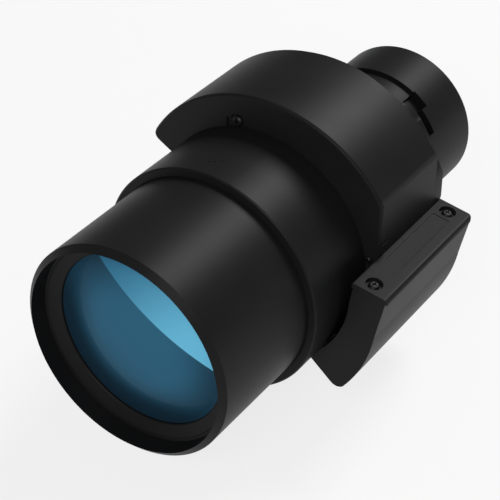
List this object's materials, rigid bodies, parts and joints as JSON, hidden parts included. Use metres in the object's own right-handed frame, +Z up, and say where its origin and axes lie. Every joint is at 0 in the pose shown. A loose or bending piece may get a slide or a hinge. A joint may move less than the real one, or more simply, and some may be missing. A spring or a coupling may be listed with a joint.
{
  "type": "projection lens",
  "caption": "Motorised zoom projection lens: long stepped barrel with a glass front, crescent motor cover, side box and a locking spigot at the rear.",
  "frame": {"origin": "On the optical axis at the middle of the rear drum, the round seat that the projector holds.", "axes": "+Y runs along the optical axis from the glass front to the rear, +Z is up as the lens sits in a level projector, and +X is the side of the box with the lid."},
  "size_m": [0.1582, 0.2533, 0.1503],
  "materials": {
    "anodised_black": "black anodised, satin",
    "hood_black": "black satin paint",
    "moulded_black": "fine textured moulding",
    "bare_aluminium": "dark anodised, turned",
    "coated_glass": "blue coated",
    "optical_glass": "polished",
    "spring_steel": "plain",
    "bracket_steel": "zinc plated",
    "motor_steel": "nickel plated",
    "screw_steel": "blackened",
    "board_green": "lacquered board",
    "connector_black": "moulded",
    "contact_brass": "turned",
    "gear_plastic": "natural acetal"
  },
  "bodies": {
    "lens_body": {"main_barrel": "anodised_black", "mount_flange": "anodised_black", "rear_barrel": "anodised_black", "rear_cell": "bare_aluminium", "rear_inner_lens": "optical_glass", "rear_outer_lens": "optical_glass", "rear_inner_retainer": "anodised_black", "rear_retainer": "anodised_black", "guide_sleeve": "bare_aluminium", "front_clip": "spring_steel", "thrust_ring": "spring_steel", "motor_bracket": "bracket_steel", "idler_clips": "spring_steel", "focus_motor": "motor_steel", "zoom_motor": "motor_steel", "motor_cover": "moulded_black", "cover_screws": "screw_steel", "box_body": "moulded_black", "box_lid": "moulded_black", "lid_screws": "screw_steel", "circuit_board": "board_green", "connector": "connector_black", "contact_pins": "contact_brass", "flange_screws": "screw_steel", "sleeve_screws": "screw_steel", "box_screws": "screw_steel", "board_screws": "screw_steel"},
    "focus_carriage": {"focus_barrel": "hood_black", "front_retainer": "anodised_black", "front_lens": "coated_glass", "second_lens": "optical_glass", "second_retainer": "anodised_black", "focus_pins": "contact_brass"},
    "variator": {"variator_cell": "bare_aluminium", "variator_lens": "optical_glass", "variator_retainer": "anodised_black", "variator_pins": "contact_brass"},
    "compensator": {"compensator_cell": "bare_aluminium", "compensator_lens": "optical_glass", "compensator_retainer": "anodised_black", "compensator_pins": "contact_brass"},
    "focus_cam": {"focus_ring": "bare_aluminium"},
    "zoom_cam": {"zoom_cam": "bare_aluminium"},
    "focus_idler": {"focus_idler": "gear_plastic"},
    "focus_pinion": {"focus_pinion": "contact_brass"},
    "zoom_idler": {"zoom_idler": "gear_plastic"},
    "zoom_pinion": {"zoom_pinion": "contact_brass"}
  },
  "joints": [
    {"name": "focus_turn", "type": "hinge", "parent": "lens_body", "child": "focus_cam", "pos_m": [0, -0.13765, 0], "axis": [0, 1, 0], "range_deg": [-30, 30]},
    {"name": "focus_slide", "type": "slide", "parent": "lens_body", "child": "focus_carriage", "axis": [0, 1, 0], "range_m": [-0.00401, 0.00401]},
    {"name": "focus_idler_spin", "type": "hinge", "parent": "lens_body", "child": "focus_idler", "pos_m": [-0.027, -0.12115, 0.05537], "axis": [0, 1, 0], "range_deg": [-259, 259]},
    {"name": "focus_motor_spin", "type": "hinge", "parent": "lens_body", "child": "focus_pinion", "pos_m": [-0.03819, -0.12115, 0.05481], "axis": [0, 1, 0], "range_deg": [-345.5, 345.5]},
    {"name": "zoom_turn", "type": "hinge", "parent": "lens_body", "child": "zoom_cam", "pos_m": [0, -0.09665, 0], "axis": [0, 1, 0], "range_deg": [-30, 30]},
    {"name": "variator_slide", "type": "slide", "parent": "lens_body", "child": "variator", "axis": [0, 1, 0], "range_m": [-0.00601, 0.00601]},
    {"name": "compensator_slide", "type": "slide", "parent": "lens_body", "child": "compensator", "axis": [0, 1, 0], "range_m": [-0.00241, 0.00241]},
    {"name": "zoom_idler_spin", "type": "hinge", "parent": "lens_body", "child": "zoom_idler", "pos_m": [0.01903, -0.11365, 0.05858], "axis": [0, 1, 0], "range_deg": [-259, 259]},
    {"name": "zoom_motor_spin", "type": "hinge", "parent": "lens_body", "child": "zoom_pinion", "pos_m": [0.03019, -0.11365, 0.05959], "axis": [0, 1, 0], "range_deg": [-345.5, 345.5]}
  ],
  "couplings": [
    {"joint": "focus_slide", "follows": "focus_turn", "m_per_rad": 0.0076394},
    {"joint": "focus_idler_spin", "follows": "focus_turn", "ratio": -8.625},
    {"joint": "focus_motor_spin", "follows": "focus_turn", "ratio": 11.5},
    {"joint": "variator_slide", "follows": "zoom_turn", "m_per_rad": 0.011459},
    {"joint": "compensator_slide", "follows": "zoom_turn", "m_per_rad": 0.0045837},
    {"joint": "zoom_idler_spin", "follows": "zoom_turn", "ratio": -8.625},
    {"joint": "zoom_motor_spin", "follows": "zoom_turn", "ratio": 11.5}
  ]
}
